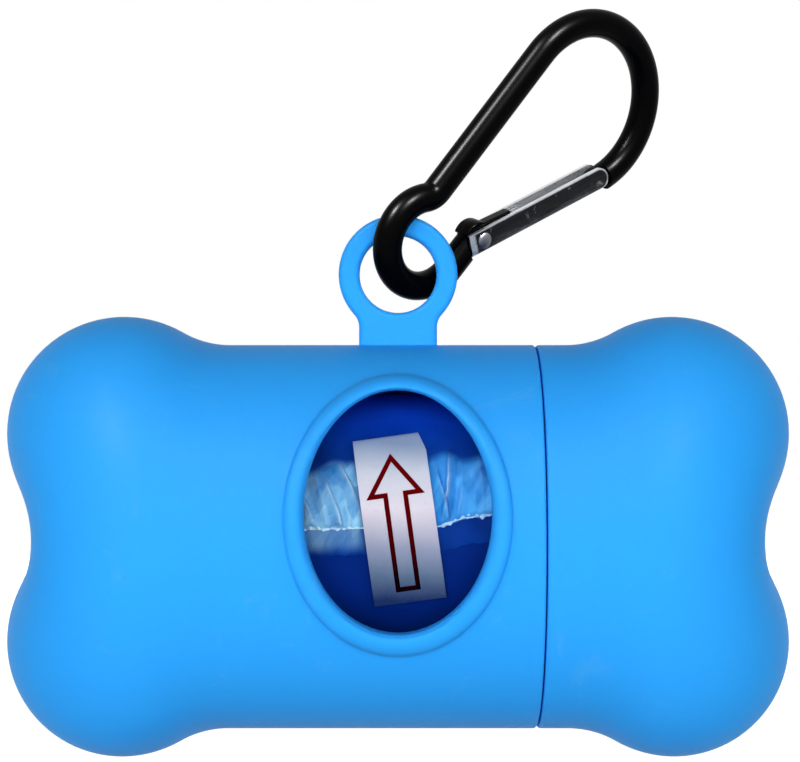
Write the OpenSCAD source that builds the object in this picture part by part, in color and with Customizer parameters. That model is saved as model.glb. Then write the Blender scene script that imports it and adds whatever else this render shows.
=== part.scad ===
// Bone-shaped dispenser for a roll of pet waste bags, with its pear-shaped
// carabiner. The housing is built round the roll: the roll's size sets the
// threaded neck, the neck sets the tube, and the tube carries the four lobes.
// X runs along the bone, -Y is the side with the dispensing window, +Z is up.
// The origin is where the leash ring hangs in the crown of the carabiner.

/* [Bag roll] */
// Diameter of the wound roll without its loose outer bag
roll_d = 29.2; // [26:0.2:31]
// Length of the roll
roll_len = 58; // [52:1:64]
// Outer diameter of the cardboard core
core_d = 12; // [10:0.5:14]
// Wall of the cardboard core
core_wall = 0.9; // [0.8:0.1:1.2]
// Thickness of the loose outer bag over the roll
film_t = 0.23; // [0.2:0.01:0.4]
// How far round the roll the loose outer bag lies, in degrees
film_wrap = 205; // [120:5:300]
// Height of the loose bag's free edge above the roll's axis
film_edge_z = 2.6; // [-3:0.2:4]
// Free length at each end of the roll
end_play = 5.5; // [4:0.5:8]
// Radial gap between the loose bag and the neck
roll_gap = 0.5; // [0.4:0.05:0.8]

/* [Paper label] */
// Width of the label along the bone
label_w = 7.1; // [6:0.2:10]
// Length of the label round the roll, seen from the front
label_h = 16.1; // [12:0.2:20]
// Thickness of the paper
label_t = 0.12; // [0.1:0.02:0.2]
// Lean of the label
label_lean = 8; // [0:0.5:12]
// Height of the label's middle above the roll's axis
label_z = 2.6; // [-2:0.2:3.6]

/* [Housing] */
// Wall of the housing
wall = 2; // [1.8:0.1:2.4]
// How far the lobes reach past the saddle at each end
dish = 3.5; // [2.5:0.25:4.5]
// How far the lobes stand above the tube
lobe_rise = 2.9; // [2.3:0.1:3.6]
// Radius of a lobe
lobe_r = 11.9; // [11:0.1:12.6]
// Radius of the hollow curve from the tube to a lobe
flare_r = 10; // [8:0.5:13]
// Radius of the side's corner at each end
corner_r = 13; // [10:0.5:14]

/* [Screw joint] */
// Where the seam lies, from the middle of the bone
seam_x = 14; // [12:0.5:15.5]
// Gap between the housing and the cap at the seam
seam_gap = 0.15; // [0.1:0.05:0.3]
// Bevel on each edge of the seam
seam_bevel = 0.3; // [0.2:0.05:0.5]
// Wall of the threaded neck
neck_wall = 1.35; // [1.2:0.05:1.6]
// Length of the neck past the seam
neck_len = 6.5; // [5:0.25:8]
// Depth of the thread on the neck
thread_depth = 0.6; // [0.5:0.05:0.8]
// Radial clearance between the thread and the cap
thread_gap = 0.3; // [0.25:0.05:0.4]
// Length of the inner collar that carries the neck
collar_len = 3; // [2:0.25:4]

/* [Window] */
// Width of the dispensing window
window_w = 17.9; // [14:0.5:20]
// Height of the dispensing window
window_h = 23.2; // [18:0.5:25]
// Height of the window's middle above the bone's axis
window_z = 3.4; // [0:0.2:4]
// Width of the raised rim
rim_w = 1.85; // [1.2:0.05:2.2]
// Height of the rim above the tube
rim_rise = 0.9; // [0.6:0.1:1.2]
// Width of the rim's rounded edge
rim_soft = 0.4; // [0.2:0.05:0.5]

/* [Hanging loop] */
// Radius of the hole in the loop
loop_hole_r = 3.95; // [3.9:0.05:4.3]
// Width of the loop's ring
loop_band = 2.15; // [1.8:0.05:2.6]
// Thickness of the loop
loop_t = 2; // [1.8:0.05:2.1]
// Rounding of the loop's edges
loop_round = 0.6; // [0.55:0.05:0.8]
// Width of the tab under the loop
tab_w = 8; // [7:0.25:9]
// Hollow curve between the tab and the loop
tab_fillet = 2; // [1:0.25:3]
// Lowest point of the ring above the tube
loop_lift = 1.15; // [0.8:0.05:2]

/* [Carabiner frame] */
// Diameter of the rod
rod_d = 3; // [2.6:0.1:3.1]
// Radius of the small eye, at the middle of the rod
eye_r = 4.7; // [4.5:0.05:5.2]
// Radius of the crown, at the middle of the rod
crown_r = 8.8; // [8.2:0.1:9.6]
// Distance between the centres of the eye and the crown
crown_dist = 23.8; // [22:0.2:26]
// Angle between the straight spine and the long axis
spine_lean = 14.8; // [13:0.2:16]
// Radius of the reverse bend from the spine to the eye
neck_bend_r = 2.2; // [2:0.1:3]

/* [Carabiner gate] */
// Angle between the gate and the long axis
gate_lean = 14; // [12.5:0.25:15]
// Distance of the pivot from the eye's centre, along the long axis
pivot_u = 5.8; // [5.5:0.05:6.2]
// Distance of the pivot from the long axis
pivot_v = 4.15; // [3.9:0.05:4.4]
// Length of the gate past its pivot
gate_len = 17.3; // [16.8:0.1:17.8]
// Length of the gate behind its pivot
gate_tail = 1.85; // [1.5:0.05:2.2]
// Outer width of the folded channel
gate_w = 2.2; // [2:0.1:2.6]
// Height of the channel's flanks
gate_h = 2.6; // [2.4:0.1:3]
// Thickness of the gate's sheet
sheet_t = 0.4; // [0.3:0.05:0.45]
// Outer radius of the channel's folds
fold_r = 0.6; // [0.45:0.05:0.8]
// Length of the slot that lets the nose through the web
nose_slot = 3.2; // [3.1:0.1:4]
// Furthest that the gate opens, in degrees
gate_open = 25; // [20:1:28]
// Clearance between the gate and the frame
gate_gap = 0.15; // [0.1:0.05:0.2]
// Diameter of the pivot rivet
rivet_d = 1.1; // [0.9:0.05:1.2]
// Diameter of the rivet's heads
rivet_head_d = 1.9; // [1.7:0.1:2.1]
// Thickness of the rivet's heads
rivet_head_t = 0.25; // [0.2:0.05:0.35]
// Radial clearance round the rivet
rivet_gap = 0.05; // [0.03:0.01:0.08]
// Thickness of the leaf spring
leaf_t = 0.2; // [0.15:0.01:0.22]
// Length of the leaf spring past the tongue
leaf_len = 5.4; // [4.5:0.1:6.5]

/* [Hang] */
// Turn of the carabiner's long axis above the bone
hang_rise = 41.4; // [40:0.1:44]
// Swing of the long axis away from the front
hang_swing = 18.1; // [16:0.1:20]
// Roll of the carabiner about its long axis
hang_roll = 37.3; // [36:0.1:40]

/* [Hidden] */
$fn = 64;

// Colours
housing_blue = [0.16, 0.6, 0.95];
film_blue = [0.02, 0.2, 0.6];
black_coat = [0.04, 0.04, 0.05];
card_brown = [0.62, 0.5, 0.36];
paper_grey = [0.82, 0.83, 0.86];
steel = [0.75, 0.76, 0.78];

// Housing, worked outwards from the roll
layer_gap = 0.02;
root_gap = 0.08;
root_len = 0.4;
roll_r = roll_d / 2;
film_in_r = roll_r + layer_gap;
film_r = film_in_r + film_t;
label_in_r = film_r + layer_gap;
neck_in_r = film_r + roll_gap;
neck_r = neck_in_r + neck_wall;
tube_in_r = neck_r + thread_depth + thread_gap;
tube_r = tube_in_r + wall;
saddle_x = roll_len / 2 + end_play + wall;
bone_len = 2 * (saddle_x + dish);
bone_h = 2 * (tube_r + lobe_rise);
seat_gap = 0.3;
roll_z = seat_gap - roll_gap;

// Crest of a lobe: flare, lobe and saddle arcs that meet at tangents
lobe_x = bone_len / 2 - lobe_r;
lobe_z = bone_h / 2 - lobe_r;
flare_z = tube_r + flare_r;
flare_x = lobe_x - sqrt(pow(flare_r + lobe_r, 2) - pow(flare_z - lobe_z, 2));
flare_turn = atan2(lobe_x - flare_x, flare_z - lobe_z);
saddle_reach = saddle_x - lobe_x;
saddle_r = (lobe_z * lobe_z + saddle_reach * saddle_reach - lobe_r * lobe_r)
    / (2 * (lobe_r - saddle_reach));
saddle_turn = atan2(lobe_z, saddle_reach + saddle_r);
lobe_turn = 90 + flare_turn + saddle_turn;

// Lengths along the crest and along the side, from the end of the tube
flare_arc = flare_r * flare_turn * PI / 180;
lobe_arc = lobe_r * lobe_turn * PI / 180;
saddle_arc = saddle_r * saddle_turn * PI / 180;
crest_len = flare_arc + lobe_arc + saddle_arc;
side_run = saddle_x - corner_r - flare_x;
side_arc = corner_r * PI / 2;
side_flat = tube_r - corner_r;
side_len = side_run + side_arc + side_flat;

// Steps of the loft along the crest and round the bone
flare_steps = 4;
lobe_steps = 12;
saddle_steps = 3;
loft_turns = 48;
loft_steps = flare_steps + lobe_steps + saddle_steps;

// Point of the crest at a distance d, with the skin moved inwards by off
function crest_point(d, off) =
    d <= flare_arc ? flare_point(flare_turn * d / flare_arc, off)
    : d <= flare_arc + lobe_arc
        ? lobe_point(90 + flare_turn - lobe_turn * (d - flare_arc) / lobe_arc, off)
        : saddle_point(saddle_turn * (crest_len - d) / saddle_arc, off);
function flare_point(a, off) =
    [flare_x + (flare_r + off) * sin(a), flare_z - (flare_r + off) * cos(a)];
function lobe_point(a, off) =
    [lobe_x + (lobe_r - off) * cos(a), lobe_z + (lobe_r - off) * sin(a)];
function saddle_point(a, off) =
    [saddle_x + saddle_r - (saddle_r + off) * cos(a), (saddle_r + off) * sin(a)];

// Point of the side at a distance d, moved inwards by off
function side_point(d, off) =
    d <= side_run ? [flare_x + d, tube_r - off]
    : d <= side_run + side_arc
        ? corner_point(90 * (1 - (d - side_run) / side_arc), off)
        : [saddle_x - off, side_flat * max(0, side_len - d) / side_flat];
function corner_point(a, off) =
    [saddle_x - corner_r + (corner_r - off) * cos(a),
     tube_r - corner_r + (corner_r - off) * sin(a)];

// Distance along the crest at each step of the loft
function crest_step(i) =
    i <= flare_steps ? flare_arc * i / flare_steps
    : i <= flare_steps + lobe_steps
        ? flare_arc + lobe_arc * (i - flare_steps) / lobe_steps
        : crest_len - saddle_arc * (loft_steps - i) / saddle_steps;

// One point of a skin: the side blends into the crest by the square of the sine
function skin_point(i, k, off) =
    let (
        d = crest_step(i),
        a = 360 * k / loft_turns,
        mix = pow(sin(a), 2),
        crest = crest_point(d, off),
        side = side_point(d * side_len / crest_len, off),
        p = side + mix * (crest - side)
    ) [p[0], p[1] * cos(a), p[1] * sin(a)];

// The loft's root reaches into the wall of the tube's end
function root_point(k, off) =
    let (r = tube_r - (off > 0 ? wall - root_gap : root_gap), a = 360 * k / loft_turns)
    [flare_x - root_len, r * cos(a), r * sin(a)];

// Loop and tab
loop_r = loop_hole_r + loop_band;
loop_z = tube_r + loop_lift + loop_r;
tab_fillet_z = loop_z - sqrt(pow(loop_r + tab_fillet, 2) - pow(tab_w / 2 + tab_fillet, 2));
tab_root = 1;

// Carabiner, drawn flat: x along its long axis, y towards the spine
rod_r = rod_d / 2;
spine_dir = [cos(spine_lean), sin(spine_lean)];
spine_out = [-sin(spine_lean), cos(spine_lean)];
crown_c = [crown_dist, 0];
spine_top = crown_c + crown_r * spine_out;
spine_off = spine_top * spine_out;
bend_along = sqrt(pow(eye_r + neck_bend_r, 2) - pow(neck_bend_r + spine_off, 2));
bend_c = bend_along * spine_dir + (spine_off + neck_bend_r) * spine_out;
bend_angle = atan2(bend_c[1], bend_c[0]);
eye_end = 284;
nose_angle = -106;

// Gate, drawn flat: x along the gate from its pivot, y towards the inside
pivot = [pivot_u, -pivot_v];
slot_w = gate_w - 2 * sheet_t;
tongue_t = slot_w - 2 * gate_gap;
web_y = sheet_t - gate_h / 2;
tail_sweep = norm([gate_tail, gate_h / 2]) + gate_gap;
nose_sweep = gate_len + gate_gap;
eye_run = pivot[0] - tail_sweep / 2 - eye_r * cos(eye_end);

// Path of the rod from the nose round the crown, down the spine and round the eye.
// Each stop is [x, y, angle of the section, radius of the section].
rod_sides = 16;
nose_stops = [for (q = [75, 50, 25]) nose_stop(q)];
crown_stops = [for (a = steps(nose_angle, 90 + spine_lean, 28))
    [crown_dist + crown_r * cos(a), crown_r * sin(a), a, rod_r]];
bend_stops = [for (a = steps(spine_lean - 90, bend_angle - 180, 6))
    [bend_c[0] + neck_bend_r * cos(a), bend_c[1] + neck_bend_r * sin(a), a + 180, rod_r]];
eye_stops = [for (i = [1 : 23]) let (a = bend_angle + (eye_end - bend_angle) * i / 23)
    [eye_r * cos(a), eye_r * sin(a), a, rod_r]];
run_stop = [eye_r * cos(eye_end) - eye_run * sin(eye_end),
    eye_r * sin(eye_end) + eye_run * cos(eye_end), eye_end, rod_r];
rod_path = concat(nose_stops, crown_stops, bend_stops, eye_stops, [run_stop]);
function steps(a, b, n) = [for (i = [0 : n]) a + (b - a) * i / n];
function nose_stop(q) =
    [crown_dist + crown_r * cos(nose_angle) + rod_r * sin(q) * sin(nose_angle),
     crown_r * sin(nose_angle) - rod_r * sin(q) * cos(nose_angle), nose_angle, rod_r * cos(q)];

// Tongue of the frame inside the gate: the wedge under it lets the web swing in
stop_gap = gate_gap / 2;
tongue_y = web_y + stop_gap;
tongue_len = 4.2;
tongue_back = 3.6;
tongue_top = gate_h / 2 + 0.2;
wedge_angle = gate_open + 1;
wedge_y = tongue_len * tan(wedge_angle) + tongue_y / cos(wedge_angle);
wedge_x = tongue_y / tan(wedge_angle) - tongue_y / sin(wedge_angle);
bump_r = 1.9;
bump_c = [-0.6, 0.35];

// Leaf spring: an arc from the tongue's tip that lies down on the web
leaf_start = (wedge_y + tongue_top) / 2;
leaf_end = web_y + gate_gap + leaf_t / 2;
leaf_turn = 2 * atan2(leaf_start - leaf_end, leaf_len);
leaf_r = leaf_len / sin(leaf_turn);
leaf_lap = leaf_t / 2 * sin(leaf_turn) + layer_gap;

// Where the rod passes the hole of the loop, and how the carabiner hangs there
pass_angle = 197.6;
pass_offset = [0.08, -0.24, -0.45];
function turn_x(p, a) = [p[0], p[1] * cos(a) - p[2] * sin(a), p[1] * sin(a) + p[2] * cos(a)];
function turn_y(p, a) = [p[0] * cos(a) + p[2] * sin(a), p[1], p[2] * cos(a) - p[0] * sin(a)];
function turn_z(p, a) = [p[0] * cos(a) - p[1] * sin(a), p[0] * sin(a) + p[1] * cos(a), p[2]];
function hung(p) = turn_y(turn_z(turn_x(p, 90 + hang_roll), hang_swing), -hang_rise);
eye_c = [0, 0, loop_z] + pass_offset - hung([eye_r * cos(pass_angle), eye_r * sin(pass_angle), 0]);

// The leash ring hangs at the highest point inside the crown
up_angle = atan2(hung([0, 1, 0])[2], hung([1, 0, 0])[2]);
clip_r = crown_r - rod_r;
clip = eye_c + hung([crown_dist + clip_r * cos(up_angle), clip_r * sin(up_angle), 0]);

// Puts the bone's parts into the part's own frame
module from_clip() {
    translate(-clip) children();
}

// Puts the flat carabiner where it hangs
module as_hung() {
    from_clip()
        translate(eye_c)
        rotate([0, -hang_rise, 0])
        rotate([0, 0, hang_swing])
        rotate([90 + hang_roll, 0, 0])
        children();
}

// Puts the flat gate at its pivot on the carabiner
module on_pivot() {
    translate([pivot[0], pivot[1], 0]) rotate([0, 0, -gate_lean]) children();
}

// Turns a profile (radius, distance along X) into a solid round the X axis
module round_x(angle = 360, start = 0) {
    rotate([0, 90, 0]) rotate([0, 0, start]) rotate_extrude(angle = angle) children();
}

// Hollow lobed end of the bone, from the end of the tube to the saddle
module lobed_end() {
    skin = [
        for (off = [0, wall])
            for (i = [0 : loft_steps - 1])
                for (k = [0 : loft_turns - 1])
                    i > 0 ? skin_point(i, k, off) : root_point(k, off)
    ];
    inner = loft_steps * loft_turns;
    poles = [[saddle_x, 0, 0], [saddle_x - wall, 0, 0]];
    last = (loft_steps - 1) * loft_turns;
    polyhedron(
        points = concat(skin, poles),
        faces = concat(
            [for (i = [0 : loft_steps - 2]) for (k = [0 : loft_turns - 1])
                each quad(i * loft_turns, (i + 1) * loft_turns, k)],
            [for (i = [0 : loft_steps - 2]) for (k = [0 : loft_turns - 1])
                each quad(inner + (i + 1) * loft_turns, inner + i * loft_turns, k)],
            [for (k = [0 : loft_turns - 1]) [last + k, 2 * inner, last + next(k)]],
            [for (k = [0 : loft_turns - 1])
                [inner + last + next(k), 2 * inner + 1, inner + last + k]],
            [for (k = [0 : loft_turns - 1]) each quad(inner, 0, k)]
        )
    );
}
function next(k) = (k + 1) % loft_turns;
function quad(a, b, k) = [[a + k, b + k, b + next(k)], [a + k, b + next(k), a + next(k)]];

// Flat ellipse
module ellipse(w, h) {
    polygon([for (a = [0 : 7.5 : 359]) [w / 2 * cos(a), h / 2 * sin(a)]]);
}

// Straight prism through the front wall, from the flat shape given
module through_front() {
    translate([0, -tube_in_r / 2, window_z])
        rotate([90, 0, 0])
        linear_extrude(tube_r)
        children();
}

// Raised rim that follows the tube
module rim_layer(w, h, rise) {
    intersection() {
        through_front() ellipse(w, h);
        round_x()
            translate([tube_r - wall / 2, -bone_h / 2])
            square([wall / 2 + rise, bone_h]);
    }
}

// Tube with its collar and threaded neck, as one turned profile
module tube_and_neck() {
    neck_end = seam_x + neck_len;
    collar_x = seam_x - collar_len;
    slope = tube_in_r - neck_in_r;
    round_x() polygon([
        [tube_in_r, -flare_x],
        [tube_r, -flare_x],
        [tube_r, seam_x - seam_bevel],
        [tube_r - seam_bevel, seam_x],
        [neck_r, seam_x],
        [neck_r, neck_end - neck_wall / 3],
        [neck_r - neck_wall / 3, neck_end],
        [neck_in_r, neck_end],
        [neck_in_r, collar_x],
        [tube_in_r, collar_x - slope]
    ]);
}

// Rounded section of the loop's ring
module loop_section() {
    inset = loop_round;
    translate([loop_hole_r + inset, -loop_t / 2]) square([loop_band - 2 * inset, loop_t]);
    translate([loop_hole_r, inset - loop_t / 2]) square([loop_band, loop_t - 2 * inset]);
    for (x = [loop_hole_r + inset, loop_r - inset])
        for (y = [inset - loop_t / 2, loop_t / 2 - inset])
            translate([x, y]) circle(loop_round);
}

// Hanging loop with its tab, standing on the tube
module hanging_loop() {
    translate([0, 0, loop_z]) rotate([90, 0, 0]) rotate_extrude() loop_section();
    rotate([90, 0, 0]) linear_extrude(loop_t, center = true) difference() {
        tab_outline();
        translate([0, loop_z]) circle(loop_r - loop_round);
    }
}

// Tab from inside the tube's wall up to where its fillets meet the ring
module tab_outline() {
    side_x = tab_w / 2 + tab_fillet;
    turn = acos(side_x / (loop_r + tab_fillet));
    arc = [for (a = [0 : turn / 6 : turn + 0.01]) a];
    right = [for (a = arc) [side_x - tab_fillet * cos(a), tab_fillet_z + tab_fillet * sin(a)]];
    left = [for (i = [len(arc) - 1 : -1 : 0]) [-right[i][0], right[i][1]]];
    foot = tube_r - tab_root;
    polygon(concat([[-tab_w / 2, foot], [tab_w / 2, foot]], right, left));
}

module main_shell() {
    color(housing_blue) from_clip() {
        mirror([1, 0, 0]) lobed_end();
        difference() {
            union() {
                tube_and_neck();
                rim_layer(window_w + 2 * rim_w, window_h + 2 * rim_w, rim_rise - rim_soft);
                rim_layer(window_w + 2 * (rim_w - rim_soft), window_h + 2 * (rim_w - rim_soft),
                    rim_rise);
            }
            through_front() ellipse(window_w, window_h);
        }
        hanging_loop();
    }
}

module end_cap() {
    mouth = seam_x + seam_gap;
    color(housing_blue) from_clip() {
        lobed_end();
        round_x() polygon([
            [tube_in_r, mouth],
            [tube_r - seam_bevel, mouth],
            [tube_r, mouth + seam_bevel],
            [tube_r, flare_x],
            [tube_in_r, flare_x]
        ]);
    }
}

// Puts a roll part on the roll's axis
module on_roll() {
    from_clip() translate([0, 0, roll_z]) children();
}

module roll_core() {
    color(card_brown) on_roll() round_x()
        translate([core_d / 2 - core_wall, -roll_len / 2])
        square([core_wall, roll_len]);
}

module bag_roll() {
    color(film_blue) on_roll() round_x()
        translate([core_d / 2, -roll_len / 2])
        square([roll_r - core_d / 2, roll_len]);
}

// Outermost bag: it lies over the roll and ends in a free edge at the window
module bag_tail() {
    edge = asin(film_edge_z / film_r);
    color(film_blue) on_roll()
        round_x(film_wrap, -90 - edge - film_wrap)
        translate([film_in_r, -roll_len / 2])
        square([film_t, roll_len]);
}

// Label stuck over the free edge
module arrow_label() {
    color(paper_grey) on_roll() intersection() {
        round_x() translate([label_in_r, -roll_len / 2]) square([label_t, roll_len]);
        rotate([90, 0, 0])
            linear_extrude(film_r + 2 * label_t)
            translate([0, label_z])
            rotate(label_lean)
            square([label_w, label_h], center = true);
    }
}

// Bent rod: a round section swept along the rod's path
module bent_rod() {
    rings = len(rod_path);
    points = [for (p = rod_path) for (k = [0 : rod_sides - 1]) rod_point(p, 360 * k / rod_sides)];
    start = [for (k = [rod_sides - 1 : -1 : 0]) k];
    end = [for (k = [0 : rod_sides - 1]) (rings - 1) * rod_sides + k];
    walls = [
        for (i = [0 : rings - 2])
            for (k = [0 : rod_sides - 1])
                [for (c = [[0, 0], [0, 1], [1, 1], [1, 0]])
                    (i + c[0]) * rod_sides + (k + c[1]) % rod_sides]
    ];
    polyhedron(points = points, faces = concat([start, end], walls));
}
function rod_point(p, a) =
    [p[0] + p[3] * cos(a) * cos(p[2]), p[1] + p[3] * cos(a) * sin(p[2]), p[3] * sin(a)];

// Flat plate of the given thickness, centred on the carabiner's plane
module plate(t) {
    linear_extrude(t, center = true) children();
}

// Outline of the tongue that the gate pivots on
module tongue_outline() {
    polygon([
        [-tongue_back, tongue_y],
        [wedge_x, tongue_y],
        [tongue_len, wedge_y],
        [tongue_len, tongue_top],
        [bump_c[0], tongue_top],
        [-tongue_back, 0]
    ]);
    difference() {
        translate(bump_c) circle(bump_r);
        translate([-2 * bump_r, tongue_y - 2 * bump_r]) square([4 * bump_r, 2 * bump_r]);
        polygon([[wedge_x, tongue_y], [wedge_x, tongue_y - bump_r],
            [tongue_len, tongue_y - bump_r], [tongue_len, wedge_y]]);
    }
}

// Thick shoulder of the tongue, clear of the flanks as they swing in
module shoulder_outline() {
    clear_y = tongue_top;
    intersection() {
        translate(bump_c) circle(bump_r);
        polygon([[-2 * bump_r, clear_y], [0, clear_y],
            [bump_r, clear_y + bump_r * tan(wedge_angle)], [bump_r, 2 * bump_r],
            [-2 * bump_r, 2 * bump_r]]);
    }
}

// Room that the gate's tail sweeps at the eye
module tail_room() {
    plate(2 * rod_d) circle(tail_sweep);
}

// Room round the nose: the flanks pass on both sides and the outside is cut flush
module nose_room() {
    reach = 2 * rod_r + nose_slot;
    difference() {
        plate(2 * rod_d) intersection() {
            circle(nose_sweep, $fn = 180);
            translate([gate_len - reach, -rod_d]) square([2 * reach, 2 * rod_d]);
        }
        plate(tongue_t) translate([0, -gate_h / 2]) square([2 * gate_len, 2 * rod_d]);
    }
}

module carabiner_frame() {
    color(black_coat) as_hung() {
        difference() {
            bent_rod();
            on_pivot() tail_room();
            on_pivot() nose_room();
        }
        on_pivot() difference() {
            union() {
                plate(tongue_t) tongue_outline();
                plate(gate_w) shoulder_outline();
            }
            cylinder(h = rod_d, d = rivet_d + 2 * rivet_gap, center = true);
        }
    }
}

// Section of the folded channel, open towards the inside of the carabiner
module channel_section() {
    difference() {
        union() {
            translate([-gate_h / 2 + fold_r, -gate_w / 2]) square([gate_h - fold_r, gate_w]);
            translate([-gate_h / 2, -gate_w / 2 + fold_r]) square([gate_h, gate_w - 2 * fold_r]);
            for (side = [-1, 1])
                translate([fold_r - gate_h / 2, side * (gate_w / 2 - fold_r)]) circle(fold_r);
        }
        translate([web_y, -slot_w / 2]) square([gate_h, slot_w]);
    }
}

// Outline of a flank, with its round free end
module flank_outline() {
    translate([-gate_tail, -gate_h / 2]) square([gate_tail + gate_len - gate_h / 2, gate_h]);
    translate([gate_len - gate_h / 2, 0]) circle(gate_h / 2);
}

module carabiner_gate() {
    color(black_coat) as_hung() on_pivot() difference() {
        intersection() {
            translate([-gate_tail, 0, 0])
                rotate([0, 90, 0])
                rotate([0, 0, 90])
                linear_extrude(gate_tail + gate_len)
                channel_section();
            plate(2 * gate_w) flank_outline();
        }
        translate([gate_len - nose_slot, -gate_h, -slot_w / 2]) cube([2 * nose_slot, 2 * gate_h, slot_w]);
        cylinder(h = 2 * gate_w, d = rivet_d + 2 * rivet_gap, center = true);
    }
}

module gate_rivet() {
    color(steel) as_hung() on_pivot() {
        cylinder(h = gate_w, d = rivet_d, center = true);
        for (side = [0, 1])
            mirror([0, 0, side]) translate([0, 0, gate_w / 2]) cylinder(h = rivet_head_t, d = rivet_head_d);
    }
}

module gate_spring() {
    color(steel) as_hung() on_pivot()
        translate([tongue_len + leaf_lap + leaf_len, leaf_end + leaf_r, 0])
        rotate([0, 0, -90 - leaf_turn])
        rotate_extrude(angle = leaf_turn)
        translate([leaf_r - leaf_t / 2, -tongue_t / 2])
        square([leaf_t, tongue_t]);
}

main_shell();
end_cap();
roll_core();
bag_roll();
bag_tail();
arrow_label();
carabiner_frame();
carabiner_gate();
gate_rivet();
gate_spring();
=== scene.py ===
# Bone-shaped waste bag dispenser with its carabiner.
# Lengths in the dictionaries are millimetres in the bone's own frame: X along the bone,
# -Y towards the window, +Z up to the hanging loop, the origin in the middle of the bone.
import bmesh
import bpy
import random
import numpy as np
from math import acos, asin, atan2, cos, degrees, exp, hypot, pi, radians, sin, sqrt, tan
from mathutils import Matrix, Vector


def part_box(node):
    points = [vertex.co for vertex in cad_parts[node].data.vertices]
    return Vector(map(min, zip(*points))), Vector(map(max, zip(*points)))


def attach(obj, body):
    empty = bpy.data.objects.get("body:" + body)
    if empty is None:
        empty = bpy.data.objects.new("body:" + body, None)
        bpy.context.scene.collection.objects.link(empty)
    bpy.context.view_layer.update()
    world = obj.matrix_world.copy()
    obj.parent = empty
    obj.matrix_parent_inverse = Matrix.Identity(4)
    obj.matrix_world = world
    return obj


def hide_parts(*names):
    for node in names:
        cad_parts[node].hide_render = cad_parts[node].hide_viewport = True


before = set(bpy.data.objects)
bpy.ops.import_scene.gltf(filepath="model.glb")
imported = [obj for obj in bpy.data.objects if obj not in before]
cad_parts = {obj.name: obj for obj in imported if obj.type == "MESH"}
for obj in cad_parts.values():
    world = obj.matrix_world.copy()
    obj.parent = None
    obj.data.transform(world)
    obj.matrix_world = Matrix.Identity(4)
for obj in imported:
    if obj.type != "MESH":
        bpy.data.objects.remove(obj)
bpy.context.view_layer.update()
mm = 0.001
rollDrop = 0.2  # the roll's axis lies this far below the bone's
rollLow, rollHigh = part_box("bag_roll")
boneCentre = (Vector(rollLow) + Vector(rollHigh)) / 2 + Vector((0, 0, rollDrop * mm))
rollCentre = tuple(boneCentre - Vector((0, 0, rollDrop * mm)))
print("frame loaded, bone centre", [round(c / mm, 2) for c in boneCentre])


def placed(name, data):
    piece = bpy.data.objects.new(name, data)
    bpy.context.scene.collection.objects.link(piece)
    return piece


view = {
    "distance": 225.4,  # from the middle of the bone
    "height": 15.9,  # the camera is level, a little above the bone's axis
    "side": 0.2,
    "lens": 98.55,
    "sensor": 36,
    "clipStart": 0.01,  # metres
}
cameraData = bpy.data.cameras.new("camera")
cameraData.lens = view["lens"]
cameraData.sensor_width = view["sensor"]
cameraData.clip_start = view["clipStart"]
camera = placed("camera", cameraData)
camera.location = boneCentre + Vector((view["side"], -view["distance"], view["height"])) * mm
camera.rotation_euler = (pi / 2, 0, 0)
bpy.context.scene.camera = camera


class Wire:
    # one socket of a node tree, with operators that add Math nodes
    def __init__(self, tree, socket):
        self.tree, self.socket = tree, socket

    def join(self, operation, *others):
        return self.tree.maths(operation, self, *others)

    def __add__(self, other):
        return self.join("ADD", other)

    def __radd__(self, other):
        return self.tree.maths("ADD", other, self)

    def __sub__(self, other):
        return self.join("SUBTRACT", other)

    def __rsub__(self, other):
        return self.tree.maths("SUBTRACT", other, self)

    def __mul__(self, other):
        return self.join("MULTIPLY", other)

    def __rmul__(self, other):
        return self.tree.maths("MULTIPLY", other, self)

    def __truediv__(self, other):
        return self.join("DIVIDE", other)

    def __rtruediv__(self, other):
        return self.tree.maths("DIVIDE", other, self)

    def __pow__(self, other):
        return self.join("POWER", other)

    def __rpow__(self, other):
        return self.tree.maths("POWER", other, self)

    def __lt__(self, other):
        return self.join("LESS_THAN", other)

    def __gt__(self, other):
        return self.join("GREATER_THAN", other)

    def __abs__(self):
        return self.join("ABSOLUTE")

    def atLeast(self, other):
        return self.join("MAXIMUM", other)

    def atMost(self, other):
        return self.join("MINIMUM", other)

    def clamp(self, low=0.0, high=1.0):
        return self.atLeast(low).atMost(high)

    def soft(self, low, high):
        # 0 below low, 1 above high and a straight slope between
        return ((self - low) * (1 / (high - low))).clamp()


def colour(text):
    # linear colour from a web colour
    parts = [int(text[i:i + 2], 16) / 255 for i in (1, 3, 5)]
    return tuple(c / 12.92 if c <= 0.04045 else ((c + 0.055) / 1.055) ** 2.4 for c in parts) + (1.0,)


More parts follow.
